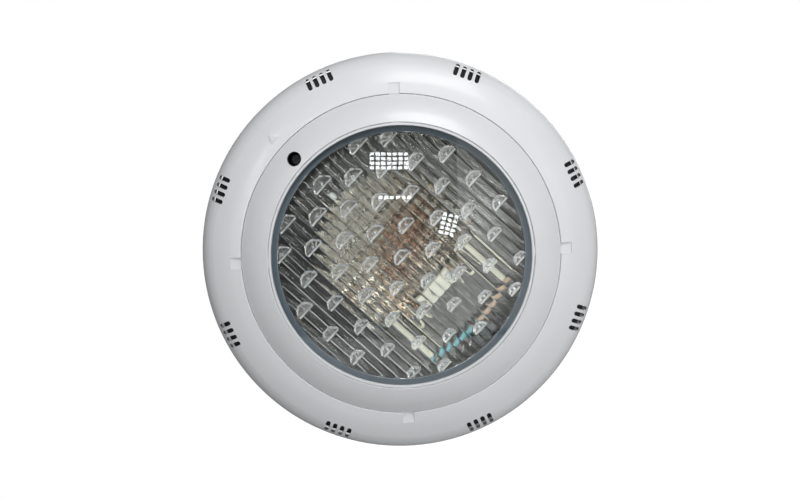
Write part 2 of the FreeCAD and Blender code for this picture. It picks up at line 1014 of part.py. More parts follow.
def lampholder_screws():
    seat = size.lamp_height + size.holder_depth / 2 - 2.4
    places = mirrored(size.holder_screw_side, size.holder_screw_up)
    small_screws("lampholder_screws", places, seat, 9.0)


def lamp_capsule():
    """The clear glass capsule with its flattened pinch seal."""
    body = new_body("lamp_capsule", out=size.lamp_height, upright=True)
    shoulder = size.capsule_shoulder
    glass = size.lamp_glass
    outer = size.lamp_radius
    dome = size.lamp_dome
    nib = math.radians(10)
    revolve(
        body,
        "bulb",
        [
            (0, shoulder),
            (outer - 2.0, shoulder),
            (outer, shoulder + 2.0, 2.0),
            (outer, dome),
            (outer * math.sin(nib), dome + outer * math.cos(nib), outer),
            (0.6, dome + outer + 1.0),
            (0, dome + outer + 1.0),
            (0, dome + outer - glass),
            (outer - glass, dome, glass - outer),
            (outer - glass, shoulder + 2.0),
            (outer - 2.0, shoulder + glass, glass - 2.0),
            (0, shoulder + glass),
        ],
    )
    pinch_height = shoulder - size.lamp_foot + glass / 2
    pad(body, "pinch", rectangle(0, 0, 10.0, 4.4), size.lamp_foot, pinch_height)


def lamp_pins():
    body = new_body("lamp_pins", out=size.lamp_height, upright=True)
    pins = mirrored(size.pin_side, 0)
    pad(body, "pins", circles(size.pin_radius, *pins), size.lamp_foot - 7.6, 12.0)


def lamp_filament():
    """The coil across the capsule on its two upright legs."""
    coil = document.addObject("Part::Cylinder", "filament_coil")
    bind(coil, "Radius", 0.8)
    bind(coil, "Height", size.pin_side * 2)
    coil.Placement.Rotation = FreeCAD.Rotation(Vector(0, 1, 0), 90)
    bind(coil, "Placement.Base.x", -size.pin_side)
    bind(coil, "Placement.Base.z", size.filament_up)
    shapes = [coil]
    for name, side in (("filament_leg_left", -1), ("filament_leg_right", 1)):
        leg = document.addObject("Part::Cylinder", name)
        bind(leg, "Radius", 0.3)
        bind(leg, "Height", size.filament_up - size.capsule_shoulder)
        bind(leg, "Placement.Base.x", size.pin_side * side)
        bind(leg, "Placement.Base.z", size.capsule_shoulder + 0.1)
        shapes.append(leg)
    joined = document.addObject("Part::MultiFuse", "lamp_filament")
    joined.Shapes = shapes
    keep(joined, "lamp_filament", out=size.lamp_height, upright=True)


# ---------------------------------------------------------------- inner wiring


def wire(name, points, radius, bend):
    """A wire along points (x, up, out), as one solid tube."""
    piece = document.addObject("Part::Feature", name)
    places = [Vector(x, up, out) for x, up, out in points]
    piece.Shape = tube(places, radius, bend)
    return keep(piece, name)


def wiring():
    """Mirror pairs: lampholder leads, the sleeves over their crimps, and the supply cores."""
    height = size.wire_height.number
    gland_height = size.gland_height.number
    side = size.sleeve_side.number
    holder_side = size.holder_width.number / 2
    above = size.sleeve_top.number + 3.0
    inside = size.sleeve_top.number - 8.0
    below = size.sleeve_bottom.number - 2.0
    for name, core, sign in (("left", "blue_wire", -1), ("right", "brown_wire", 1)):
        wire(
            f"{name}_lead",
            [
                (sign * holder_side, -34.0, height + 2.0),
                (sign * (holder_side + 4.5), -34.0, height + 2.0),
                (sign * (holder_side + 6.5), -43.0, height + 1.0),
                (sign * (side - 11.0), -43.0, height),
                (sign * (side - 8.0), above, height),
                (sign * side, above, height),
                (sign * side, inside, height),
            ],
            size.lead_radius.number,
            2.0,
        )
        sleeve = new_body(f"{name}_sleeve", x=sign * side, out=height, upright=True)
        revolve(
            sleeve,
            "tube",
            [
                (1.7, size.sleeve_bottom),
                (3.0, size.sleeve_bottom),
                (3.0, size.sleeve_top),
                (1.7, size.sleeve_top),
            ],
        )
        wire(
            core,
            [
                (sign * side, below + 6.0, height),
                (sign * side, below, height),
                (sign * side / 2, -67.6, height),
                (sign * 1.95, -68.6, gland_height),
                (sign * 1.8, -72.9, gland_height),
            ],
            size.core_radius.number,
            2.2,
        )


# ---------------------------------------------------------------- cable gland
#
# Its axis points down, so heights here are negative: each is a distance from the light's axis.


def gland_piece(name, points):
    body = new_body(name, out=size.gland_height, upright=True)
    revolve(body, "turned", points)
    return body


def gland():
    """The gland through the housing wall: body, washer, locknut, seal and dome nut."""
    pad_face = -(size.cavity_radius + size.housing_wall + 1.6)
    pad_inside = pad_face + 7.2
    washer = 1.5
    shoulder = pad_face - washer
    hexagon_end = shoulder - 3.5
    thread = size.gland_thread_radius
    bore = size.gland_bore_radius
    mouth = hexagon_end - 7.0
    seal_foot = mouth + 4.0
    nut_end = mouth - 3.5
    small_thread = thread - 0.5

    body = gland_piece(
        "gland_body",
        [
            (bore, seal_foot),
            (thread - 1.1, seal_foot),
            (thread - 1.1, mouth),
            (small_thread, mouth),
            (small_thread, hexagon_end),
            (thread, hexagon_end),
            (thread, pad_inside + 5.5),
            (bore, pad_inside + 5.5),
        ],
    )
    pad(body, "hexagon", hexagon(size.gland_hex), hexagon_end, 3.5)
    pocket(body, "bore", circles(bore, (0, 0)), hexagon_end - 1.0, 5.5)

    gland_piece(
        "gland_washer",
        [
            (thread + 0.05, shoulder),
            (thread + 1.6, shoulder),
            (thread + 1.6, pad_face),
            (thread + 0.05, pad_face),
        ],
    )
    locknut = new_body("gland_locknut", out=size.gland_height, upright=True)
    pad(locknut, "hexagon", hexagon(size.gland_hex), pad_inside, 4.0)
    pocket(locknut, "bore", circles(thread + 0.05, (0, 0)), pad_inside - 1.0, 6.0)

    gland_piece(
        "gland_seal",
        [
            (bore, mouth - 1.4),
            (thread - 1.15, mouth - 1.4),
            (thread - 1.15, seal_foot),
            (bore, seal_foot),
        ],
    )
    nut = gland_piece(
        "gland_nut",
        [
            (small_thread + 0.08, hexagon_end - 0.3),
            (small_thread + 0.08, mouth - 1.6),
            (bore + 0.2, mouth - 1.6),
            (bore + 0.2, nut_end),
            (bore + 1.4, nut_end),
            (small_thread + 1.6, nut_end + 3.2, 4.0),
            (small_thread + 1.6, hexagon_end - 0.3),
        ],
    )
    pad(nut, "hexagon", hexagon(size.gland_hex), hexagon_end - 5.3, 5.0)
    pocket(nut, "bore", circles(small_thread + 0.08, (0, 0)), hexagon_end - 5.4, 6.0)


# ---------------------------------------------------------------- build, check and write


def main():
    wall_bracket()
    threaded_insert()
    housing()
    lens_gasket()
    lens()
    lens_ring()
    bezel()
    bezel_screws()
    trim_ring()
    retaining_screw()
    screw_washer()
    reflector()
    reflector_screws()
    lampholder_bracket()
    bracket_screws()
    lampholder()
    lampholder_screws()
    lamp_capsule()
    lamp_pins()
    lamp_filament()
    wiring()
    gland()
    document.recompute()

    failed = [
        item.Name
        for item in document.Objects
        if {"Invalid", "Error"} & set(item.State)
    ]
    for piece in sub_parts:
        if piece.Shape.isNull() or not piece.Shape.isValid():
            failed.append(piece.Label)
    if failed:
        raise RuntimeError("these objects did not build: " + ", ".join(failed))
    os.makedirs("parts", exist_ok=True)
    for piece in sub_parts:
        piece.Shape.exportStep(f"parts/{piece.Label}.step")


main()
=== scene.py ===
import math

import bmesh
import bpy
from mathutils import Matrix, Vector

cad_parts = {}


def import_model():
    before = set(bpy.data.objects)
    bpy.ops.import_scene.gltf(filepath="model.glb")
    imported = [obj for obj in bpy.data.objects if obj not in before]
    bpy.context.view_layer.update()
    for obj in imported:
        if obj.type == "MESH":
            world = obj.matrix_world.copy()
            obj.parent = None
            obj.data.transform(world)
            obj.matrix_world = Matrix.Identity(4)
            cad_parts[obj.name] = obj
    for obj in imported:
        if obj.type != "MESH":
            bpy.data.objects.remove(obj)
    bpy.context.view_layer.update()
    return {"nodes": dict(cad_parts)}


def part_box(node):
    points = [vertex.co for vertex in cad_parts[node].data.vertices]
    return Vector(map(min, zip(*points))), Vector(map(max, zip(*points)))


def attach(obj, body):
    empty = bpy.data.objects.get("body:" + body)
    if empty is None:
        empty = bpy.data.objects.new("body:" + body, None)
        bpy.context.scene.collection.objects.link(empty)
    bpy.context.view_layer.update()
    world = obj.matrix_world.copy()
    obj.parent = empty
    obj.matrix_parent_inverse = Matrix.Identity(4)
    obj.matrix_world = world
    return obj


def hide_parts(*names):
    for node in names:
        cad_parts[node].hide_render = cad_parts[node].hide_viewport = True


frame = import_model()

# Underwater pool light.  The CAD frame is the wall frame: +Z up, the wall at y = 0, and the lens
# looks along -Y.  Below, "out" is the distance from the wall, so y = -out, and "mm" is a millimetre.

nodes = frame["nodes"]
mm = 0.001


# ---------------------------------------------------------------- places read from the frame

def out_of(node):
    """How far out from the wall a node starts and ends."""
    low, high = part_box(node)
    return -high[1], -low[1]


def radius_of(node):
    low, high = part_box(node)
    return (high[0] - low[0]) / 2


trim_radius = radius_of("trim_ring")
lens_flange_radius = radius_of("lens")
lens_bottom, lens_crown = out_of("lens")
lamp_low, lamp_high = (Vector(corner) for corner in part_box("lamp_capsule"))


# ---------------------------------------------------------------- materials

def new_material(name):
    material = bpy.data.materials.new(name)
    material.use_nodes = True
    shader = material.node_tree.nodes["Principled BSDF"]
    return material, material.node_tree, shader


def noise(tree, scale, detail=2.0, roughness=0.5, stretch=(1, 1, 1)):
    """A noise texture on the object's own coordinates, in metres, stretched along the axes."""
    place = tree.nodes.new("ShaderNodeTexCoord")
    mapping = tree.nodes.new("ShaderNodeMapping")
    mapping.inputs["Scale"].default_value = stretch
    texture = tree.nodes.new("ShaderNodeTexNoise")
    texture.inputs["Scale"].default_value = scale
    texture.inputs["Detail"].default_value = detail
    texture.inputs["Roughness"].default_value = roughness
    tree.links.new(place.outputs["Object"], mapping.inputs["Vector"])
    tree.links.new(mapping.outputs["Vector"], texture.inputs["Vector"])
    return texture.outputs["Fac"]


def ramp(tree, factor, stops):
    """A colour ramp over a factor: stops are (position, colour)."""
    node = tree.nodes.new("ShaderNodeValToRGB")
    elements = node.color_ramp.elements
    while len(elements) < len(stops):
        elements.new(0.5)
    for element, (position, colour) in zip(elements, stops):
        element.position = position
        element.color = (*colour, 1.0)
    tree.links.new(factor, node.inputs["Fac"])
    return node.outputs["Color"]


def level(tree, factor, low, high, full=1.0):
    """A factor of 0 to full moved to the range low to high."""
    node = tree.nodes.new("ShaderNodeMapRange")
    node.inputs["From Max"].default_value = full
    node.inputs["To Min"].default_value = low
    node.inputs["To Max"].default_value = high
    tree.links.new(factor, node.inputs["Value"])
    return node.outputs["Result"]


def bump(tree, shader, height, strength, distance):
    node = tree.nodes.new("ShaderNodeBump")
    node.inputs["Strength"].default_value = strength
    node.inputs["Distance"].default_value = distance
    tree.links.new(height, node.inputs["Height"])
    tree.links.new(node.outputs["Normal"], shader.inputs["Normal"])


def moulded_plastic(name, colour, rough, spread=0.03, coat=0.0):
    """Injection-moulded plastic: a faint mottle, a fine skin texture and uneven gloss."""
    material, tree, shader = new_material(name)
    dark = tuple(channel * (1 - spread) for channel in colour)
    tree.links.new(
        ramp(tree, noise(tree, 22.0, 3.0), [(0.3, dark), (0.7, colour)]),
        shader.inputs["Base Color"],
    )
    tree.links.new(
        level(tree, noise(tree, 60.0, 4.0), rough - 0.04, rough + 0.05), shader.inputs["Roughness"]
    )
    bump(tree, shader, noise(tree, 1400.0, 2.0), 0.12, 0.00006)
    shader.inputs["Coat Weight"].default_value = coat
    shader.inputs["Coat Roughness"].default_value = 0.12
    return material


def metal(name, colour, rough, grain=(1, 1, 1), grain_scale=900.0):
    """Bare metal with a fine grain, which is stretched where the metal was drawn or turned."""
    material, tree, shader = new_material(name)
    shader.inputs["Metallic"].default_value = 1.0
    dark = tuple(channel * 0.82 for channel in colour)
    tree.links.new(
        ramp(tree, noise(tree, 140.0, 3.0), [(0.3, dark), (0.7, colour)]),
        shader.inputs["Base Color"],
    )
    tree.links.new(
        level(tree, noise(tree, grain_scale, 3.0, stretch=grain), rough * 0.7, rough * 1.4),
        shader.inputs["Roughness"],
    )
    bump(tree, shader, noise(tree, grain_scale, 2.0, stretch=grain), 0.15, 0.00004)
    return material


def clear_glass(name, colour, index, rough=0.0, clearness=1.0):
    """Glass that bends what is behind it and lets the lamps' light through to it."""
    material, tree, shader = new_material(name)
    shader.inputs["Base Color"].default_value = (*colour, 1.0)
    # Clearness below 1 leaves a white diffuse share, which lightens the glass as painted brightness.
    shader.inputs["Transmission Weight"].default_value = clearness
    shader.inputs["IOR"].default_value = index
    tree.links.new(
        level(tree, noise(tree, 45.0, 2.0), rough, rough + 0.012), shader.inputs["Roughness"]
    )
    path = tree.nodes.new("ShaderNodeLightPath")
    through = tree.nodes.new("ShaderNodeBsdfTransparent")
    through.inputs["Color"].default_value = (*(channel * 0.92 for channel in colour), 1.0)
    either = tree.nodes.new("ShaderNodeMixShader")
    output = tree.nodes["Material Output"]
    tree.links.new(path.outputs["Is Shadow Ray"], either.inputs[0])
    tree.links.new(shader.outputs["BSDF"], either.inputs[1])
    tree.links.new(through.outputs["BSDF"], either.inputs[2])
    tree.links.new(either.outputs["Shader"], output.inputs["Surface"])
    return material


def metallised_housing(name, colour, inner_radius, floor_out):
    """Dark plastic outside; inside the bowl a vacuum-metallised coat."""
    material, tree, shader = new_material(name)
    place = tree.nodes.new("ShaderNodeTexCoord")
    split = tree.nodes.new("ShaderNodeSeparateXYZ")
    flat = tree.nodes.new("ShaderNodeVectorMath")
    flat.operation = "MULTIPLY"
    flat.inputs[1].default_value = (1, 0, 1)
    length = tree.nodes.new("ShaderNodeVectorMath")
    length.operation = "LENGTH"
    within = tree.nodes.new("ShaderNodeMath")
    within.operation = "LESS_THAN"
    within.inputs[1].default_value = inner_radius
    beyond_floor = tree.nodes.new("ShaderNodeMath")
    beyond_floor.operation = "LESS_THAN"
    beyond_floor.inputs[1].default_value = -floor_out
    both = tree.nodes.new("ShaderNodeMath")
    both.operation = "MULTIPLY"
    coat = tree.nodes.new("ShaderNodeMixRGB")
    coat.inputs["Color1"].default_value = (*colour, 1.0)
    links = tree.links
    links.new(place.outputs["Object"], split.inputs[0])
    links.new(place.outputs["Object"], flat.inputs[0])
    links.new(flat.outputs["Vector"], length.inputs[0])
    links.new(length.outputs["Value"], within.inputs[0])
    links.new(split.outputs["Y"], beyond_floor.inputs[0])
    links.new(within.outputs["Value"], both.inputs[0])
    links.new(beyond_floor.outputs["Value"], both.inputs[1])
    links.new(both.outputs["Value"], coat.inputs["Fac"])
    streaks = ramp(
        tree,
        noise(tree, 16.0, 2.0, stretch=(1.6, 1, 0.5)),
        [(0.38, (0.06, 0.062, 0.06)), (0.60, (0.33, 0.32, 0.30))],
    )
    links.new(streaks, coat.inputs["Color2"])
    links.new(coat.outputs["Color"], shader.inputs["Base Color"])
    links.new(level(tree, both.outputs["Value"], 0.0, 0.85), shader.inputs["Metallic"])
    links.new(level(tree, both.outputs["Value"], 0.38, 0.05), shader.inputs["Roughness"])
    bump(tree, shader, noise(tree, 1400.0, 2.0), 0.1, 0.00005)
    return material


# The metal coat covers the housing within this radius, outwards of the bowl's floor.
BOWL_RADIUS = 81.75 * mm
BOWL_FLOOR_OUT = 11.0 * mm

white = (0.78, 0.79, 0.81)
white_plastic = moulded_plastic("white_abs", white, 0.34, coat=0.15)
bracket_plastic = moulded_plastic("bracket_abs", (0.70, 0.71, 0.72), 0.5)
housing_plastic = metallised_housing("housing_abs", (0.05, 0.052, 0.055), BOWL_RADIUS, BOWL_FLOOR_OUT)
lens_glass = clear_glass("lens_glass", (0.93, 0.955, 0.95), 1.49)
# The prisms' glass has a small white diffuse share as painted brightness; the chords' glass is rough and
# has a large white share as a painted highlight.
prism_glass = clear_glass("prism_glass", (0.96, 0.97, 0.965), 1.49, 0.01, 0.93)
chord_glass_painted_highlight = clear_glass("chord_glass_painted_highlight", (0.97, 0.98, 0.975), 1.49, 0.25, 0.55)
capsule_glass = clear_glass("capsule_glass", (0.985, 0.985, 0.975), 1.46)
gasket_rubber = moulded_plastic("gasket_silicone", (0.27, 0.32, 0.38), 0.5, 0.10)
stainless = metal("stainless", (0.62, 0.61, 0.59), 0.28, (1, 1, 8))
# Nearly black steel: the retaining screw and its washer are darkened as painted shade for the deep access
# hole.
hole_shade_steel = metal("hole_shade_steel", (0.10, 0.10, 0.105), 0.4)
brass = metal("brass", (0.78, 0.58, 0.28), 0.3)
tungsten = metal("tungsten", (0.3, 0.28, 0.27), 0.45)
steatite = moulded_plastic("steatite", (0.80, 0.77, 0.66), 0.55, 0.08)
grey_nylon = moulded_plastic("grey_nylon", (0.16, 0.165, 0.17), 0.45, 0.15)
black_rubber = moulded_plastic("black_rubber", (0.03, 0.03, 0.03), 0.6, 0.2)
blue_pvc = moulded_plastic("blue_pvc", (0.18, 0.46, 0.50), 0.4, 0.1)
brown_pvc = moulded_plastic("brown_pvc", (0.60, 0.43, 0.30), 0.4, 0.1)


def braided(name, colour):
    """Braided glass-fibre sleeving: two crossing sets of fine threads."""
    material, tree, shader = new_material(name)
    place = tree.nodes.new("ShaderNodeTexCoord")
    heights = []
    for lean in (1.0, -1.0):
        mapping = tree.nodes.new("ShaderNodeMapping")
        mapping.inputs["Rotation"].default_value = (0, lean * math.radians(45), 0)
        wave = tree.nodes.new("ShaderNodeTexWave")
        wave.inputs["Scale"].default_value = 620.0
        wave.inputs["Distortion"].default_value = 0.6
        tree.links.new(place.outputs["Object"], mapping.inputs["Vector"])
        tree.links.new(mapping.outputs["Vector"], wave.inputs["Vector"])
        heights.append(wave.outputs["Fac"])
    highest = tree.nodes.new("ShaderNodeMath")
    highest.operation = "MAXIMUM"
    tree.links.new(heights[0], highest.inputs[0])
    tree.links.new(heights[1], highest.inputs[1])
    shade = tuple(channel * 0.72 for channel in colour)
    tree.links.new(
        ramp(tree, highest.outputs["Value"], [(0.2, shade), (0.8, colour)]),
        shader.inputs["Base Color"],
    )
    shader.inputs["Roughness"].default_value = 0.7
    bump(tree, shader, highest.outputs["Value"], 0.5, 0.00012)
    return material


def chrome_with_painted_reflection(name, tint_centre, reach):
    """Bright metal with brown patches painted in, strongest around a centre: a painted reflection of warm
    surroundings.
    """
    material, tree, shader = new_material(name)
    shader.inputs["Metallic"].default_value = 1.0
    place = tree.nodes.new("ShaderNodeTexCoord")
    away = tree.nodes.new("ShaderNodeVectorMath")
    away.operation = "DISTANCE"
    away.inputs[1].default_value = tint_centre
    tree.links.new(place.outputs["Object"], away.inputs[0])
    # Painted reflection: browner near the centre, fading out at the reach, mixed with noise into patches.
    reflection_tint = level(tree, away.outputs["Value"], 0.16, -0.16, reach)
    tint_patches = tree.nodes.new("ShaderNodeMath")
    tree.links.new(noise(tree, 42.0, 3.0, 0.6, (1.2, 1, 0.8)), tint_patches.inputs[0])
    tree.links.new(reflection_tint, tint_patches.inputs[1])
    tree.links.new(
        ramp(
            tree,
            tint_patches.outputs["Value"],
            [(0.36, (0.45, 0.42, 0.36)), (0.48, (0.36, 0.29, 0.22)), (0.60, (0.28, 0.17, 0.115))],
        ),
        shader.inputs["Base Color"],
    )
    tree.links.new(
        level(tree, noise(tree, 300.0, 2.0), 0.06, 0.16), shader.inputs["Roughness"]
    )
    return material


# How far from the lamp's middle the brown painted reflection tint reaches on the reflector.
REFLECTION_TINT_REACH = 48 * mm

glass_fibre = braided("glass_fibre", (0.80, 0.76, 0.62))
reflector_metal = chrome_with_painted_reflection("reflector_metal", (lamp_low + lamp_high) / 2, REFLECTION_TINT_REACH)


def paint(node, material):
    """Give a CAD node its finished material."""
    for slot in nodes[node].material_slots:
        slot.material = material


for node, material in {
    "wall_bracket": bracket_plastic,
    "threaded_insert": brass,
    "housing": housing_plastic,
    "lens_gasket": gasket_rubber,
    "lens_ring": white_plastic,
    "bezel": white_plastic,
    "trim_ring": white_plastic,
    "bezel_screws": stainless,
    # Painted shade: the retaining screw and washer are darkened so the access hole looks black.
    "retaining_screw": hole_shade_steel,
    "screw_washer": hole_shade_steel,
    "reflector_screws": stainless,
    "lampholder_bracket": stainless,
    "bracket_screws": stainless,
    "lampholder": steatite,
    "lampholder_screws": stainless,
    "lamp_capsule": capsule_glass,
    "lamp_pins": stainless,
    "left_sleeve": glass_fibre,
    "right_sleeve": glass_fibre,
    "left_lead": glass_fibre,
    "right_lead": glass_fibre,
    "blue_wire": blue_pvc,
    "brown_wire": brown_pvc,
    "gland_body": grey_nylon,
    "gland_washer": black_rubber,
    "gland_locknut": grey_nylon,
    "gland_seal": black_rubber,
    "gland_nut": grey_nylon,
    "lens": lens_glass,
    "reflector": reflector_metal,
    "lamp_filament": tungsten,
}.items():
    paint(node, material)


# ---------------------------------------------------------------- mesh helpers

def new_piece(name, mesh, material, body, replaced):
    """A finished piece that rides a body and stands in for one CAD node."""
    piece = bpy.data.objects.new(name, mesh)
    bpy.context.scene.collection.objects.link(piece)
    piece.data.materials.clear()
    piece.data.materials.append(material)
    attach(piece, body)
    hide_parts(replaced)
    return piece


def smooth(piece, degrees):
    """Smooth shading, with edges sharper than the angle kept crisp."""
    piece.data.shade_smooth()
    mesh = bmesh.new()
    mesh.from_mesh(piece.data)
    limit = math.radians(degrees)
    for edge in mesh.edges:
        edge.smooth = len(edge.link_faces) == 2 and edge.calc_face_angle(0.0) < limit
    mesh.to_mesh(piece.data)
    mesh.free()


def lathe(name, outline, steps):
    """A closed ring or disc turned about the light's own axis from (radius, out) points."""
    mesh = bmesh.new()
    rings = []
    for radius, out in outline:
        if radius < 1e-9:
            rings.append([mesh.verts.new((0, -out, 0))])
            continue
        ring = []
        for step in range(steps):
            angle = 2 * math.pi * step / steps
            ring.append(mesh.verts.new((radius * math.cos(angle), -out, radius * math.sin(angle))))
        rings.append(ring)
    for inner, outer in zip(rings, rings[1:] + rings[:1]):
        if len(inner) == 1 and len(outer) == 1:
            continue
        for step in range(steps):
            after = (step + 1) % steps
            corners = [inner[step % len(inner)], outer[step % len(outer)]]
            if len(outer) > 1:
                corners.append(outer[after])
            if len(inner) > 1:
                corners.append(inner[after])
            mesh.faces.new(corners)
    bmesh.ops.recalc_face_normals(mesh, faces=mesh.faces)
    data = bpy.data.meshes.new(name)
    mesh.to_mesh(data)
    mesh.free()
    return data


# ---------------------------------------------------------------- the ribbed lens

# How many steps a turned ring has.
ROUND_STEPS = 360

# Flutes: upright round ribs on the lens's inner face.
FLUTE_PITCH = 5.69 * mm
FLUTE_CURVE = 3.9 * mm
FLUTE_POINTS = 10

# Prisms: half-moon bulges in a staggered lattice, each on a straight chord.
PRISM_SIDE = 17.07 * mm
PRISM_DROP = 11.5 * mm
PRISM_LOWERED = 1.9 * mm
PRISM_ROWS_EACH_WAY = 7
PRISM_COLUMNS_EACH_WAY = 5
PRISM_RADIUS = 6.9 * mm
PRISM_GROWTH = 0.14
PRISM_GROWTH_REACH = 70 * mm
PRISM_HEIGHT = 4.4 * mm
PRISM_FANS = 12
PRISM_FAN_DEPTH = 0.09
CHORD_SLOPE = 1.1 * mm

# The grid that the ribbed face is made on, and the block that carries it.
GRID_STEP = 0.62 * mm
CHORD_CLEARANCE = 0.85 * mm
FIELD_MARGIN = 3 * mm
FIELD_FRONT = 60 * mm
RIM_BACK = 34.0 * mm
RIM_RADIUS = 95 * mm
RIM_OVERLAP = 0.05 * mm

# The lens's own sizes.
RIBBED_RADIUS = 79.9 * mm
WINDOW_RADIUS = 84.3 * mm
LENS_EDGE_OUT = 38.9 * mm
LENS_EDGE_STEP = 0.4 * mm
LENS_EDGE_BEVEL = 0.35 * mm
DOME_STEPS = 40
INNER_CROWN_OUT = 40.0 * mm
INNER_EDGE_OUT = 35.9 * mm
FIELD_BACK = 30.6 * mm
FLANGE_THICKNESS = 1.35 * mm
FLANGE_BEVEL = 0.3 * mm
WELL_TAPER = 0.5 * mm
WELL_LIP = 0.2 * mm
WELL_LIP_RISE = 0.1 * mm


def dome_out(radius, crown, edge, edge_radius):
    """How far out a dome's surface lies at a radius."""
    rise = crown - edge
    curve = (edge_radius**2 + rise**2) / (2 * rise)
    return crown - curve + math.sqrt(curve**2 - radius**2)


def prisms():
    """The prisms as (x, chord height, radius), a little larger towards the top."""
    found = []
    for row in range(-PRISM_ROWS_EACH_WAY, PRISM_ROWS_EACH_WAY + 1):
        for column in range(-PRISM_COLUMNS_EACH_WAY, PRISM_COLUMNS_EACH_WAY + 1):
            if (row + column) % 2:
                continue
            x = column * PRISM_SIDE
            chord = row * PRISM_DROP - PRISM_LOWERED
            higher = max(min(chord / PRISM_GROWTH_REACH, 1.0), -1.0)
            radius = PRISM_RADIUS * (1.0 + PRISM_GROWTH * higher)
            if math.hypot(x, chord + radius / 2) < RIBBED_RADIUS + 1.0 * mm:
                found.append((x, chord, radius))
    return found


PRISMS = prisms()


def prism_depth(x, z):
    """How deep the prisms reach inwards at a place: 0 between them."""
    deepest = 0.0
    for centre, chord, reach in PRISMS:
        above = z - chord
        if above < 0 or above > reach or abs(x - centre) > reach:
            continue
        distance = math.hypot(x - centre, above) / reach
        if distance < 1.0:
            fan = math.cos(PRISM_FANS * math.atan2(above, x - centre))
            bulge = PRISM_HEIGHT * math.sqrt(1 - distance**2) * (1 + PRISM_FAN_DEPTH * fan)
            deepest = max(deepest, bulge * min(1.0, above / CHORD_SLOPE))
    return deepest


def flute_depth(x):
    """How deep the flutes, parallel round ribs, reach inwards."""
    off = (x + FLUTE_PITCH / 2) % FLUTE_PITCH - FLUTE_PITCH / 2
    return math.sqrt(FLUTE_CURVE**2 - off**2) - math.sqrt(FLUTE_CURVE**2 - FLUTE_PITCH**2 / 4)


def ribbed_out(x, z):
    """How far out the lens's ribbed inner face lies."""
    radius = min(math.hypot(x, z), RIBBED_RADIUS)
    base = dome_out(radius, INNER_CROWN_OUT, INNER_EDGE_OUT, RIBBED_RADIUS)
    return base - max(flute_depth(x), prism_depth(x, z))


def lens_field():
    """A block whose back is the lens's ribbed inner face, on a grid that follows the prisms."""
    half = RIBBED_RADIUS + FIELD_MARGIN
    flute_step = FLUTE_PITCH / FLUTE_POINTS
    reach = math.ceil(half / flute_step)
    columns = [index * flute_step for index in range(-reach, reach + 1)]
    chords = sorted({chord for _, chord, _ in PRISMS})
    levels = []
    height = -half
    while height < half:
        if all(abs(height - chord - CHORD_SLOPE / 2) > CHORD_CLEARANCE for chord in chords):
            levels.append(height)
        height += GRID_STEP
    for chord in chords:
        levels += [chord, chord + CHORD_SLOPE]
    levels.sort()
    mesh = bmesh.new()
    grid = []
    for z in levels:
        grid.append([mesh.verts.new((x, -ribbed_out(x, z), z)) for x in columns])
    for row in range(len(levels) - 1):
        for column in range(len(columns) - 1):
            mesh.faces.new(
                (
                    grid[row][column],
                    grid[row][column + 1],
                    grid[row + 1][column + 1],
                    grid[row + 1][column],
                )
            )
    border = [edge for edge in mesh.edges if edge.is_boundary]
    sides = bmesh.ops.extrude_edge_only(mesh, edges=border)["geom"]
    for item in sides:
        if isinstance(item, bmesh.types.BMVert):
            item.co.y = -FIELD_FRONT
    rim = [item for item in sides if isinstance(item, bmesh.types.BMEdge) and item.is_boundary]
    bmesh.ops.contextual_create(mesh, geom=rim)
    bmesh.ops.recalc_face_normals(mesh, faces=mesh.faces)
    data = bpy.data.meshes.new("lens_field")
    mesh.to_mesh(data)
    mesh.free()
    return data


def combine(first, second, operation):
    """Join two solids by a boolean and return the resulting mesh."""
    bpy.context.scene.collection.objects.link(first)
    bpy.context.scene.collection.objects.link(second)
    modifier = first.modifiers.new("combine", "BOOLEAN")
    modifier.operation = operation
    modifier.solver = "MANIFOLD"
    modifier.object = second
    result = bpy.data.meshes.new_from_object(
        first.evaluated_get(bpy.context.evaluated_depsgraph_get())
    )
    bpy.data.objects.remove(first)
    bpy.data.objects.remove(second)
    return result


def lens_blank():
    """The lens before its ribs: outer dome, flange, and spare depth that the ribbed face cuts."""
    flange_front = lens_bottom + FLANGE_THICKNESS
    outline = [
        (0, FIELD_BACK),
        (RIBBED_RADIUS, FIELD_BACK),
        (RIBBED_RADIUS + WELL_TAPER, lens_bottom + WELL_LIP_RISE),
        (RIBBED_RADIUS + WELL_TAPER + WELL_LIP, lens_bottom),
        (lens_flange_radius - FLANGE_BEVEL, lens_bottom),
        (lens_flange_radius, lens_bottom + FLANGE_BEVEL),
        (lens_flange_radius, flange_front),
        (WINDOW_RADIUS, flange_front),
        (WINDOW_RADIUS, LENS_EDGE_OUT - LENS_EDGE_STEP),
    ]
    for step in range(DOME_STEPS + 1):
        radius = (WINDOW_RADIUS - LENS_EDGE_BEVEL) * (1 - step / DOME_STEPS)
        outline.append((radius, dome_out(radius, lens_crown, LENS_EDGE_OUT, WINDOW_RADIUS)))
    return lathe("lens_blank", outline, ROUND_STEPS)


def rim_keeper():
    """A ring round the ribbed block, so that the cut leaves the lens's edge and flange whole."""
    inner_radius = RIBBED_RADIUS - RIM_OVERLAP
    outline = [
        (inner_radius, RIM_BACK),
        (RIM_RADIUS, RIM_BACK),
        (RIM_RADIUS, FIELD_FRONT),
        (inner_radius, FIELD_FRONT),
    ]
    return lathe("keep_rim", outline, ROUND_STEPS)


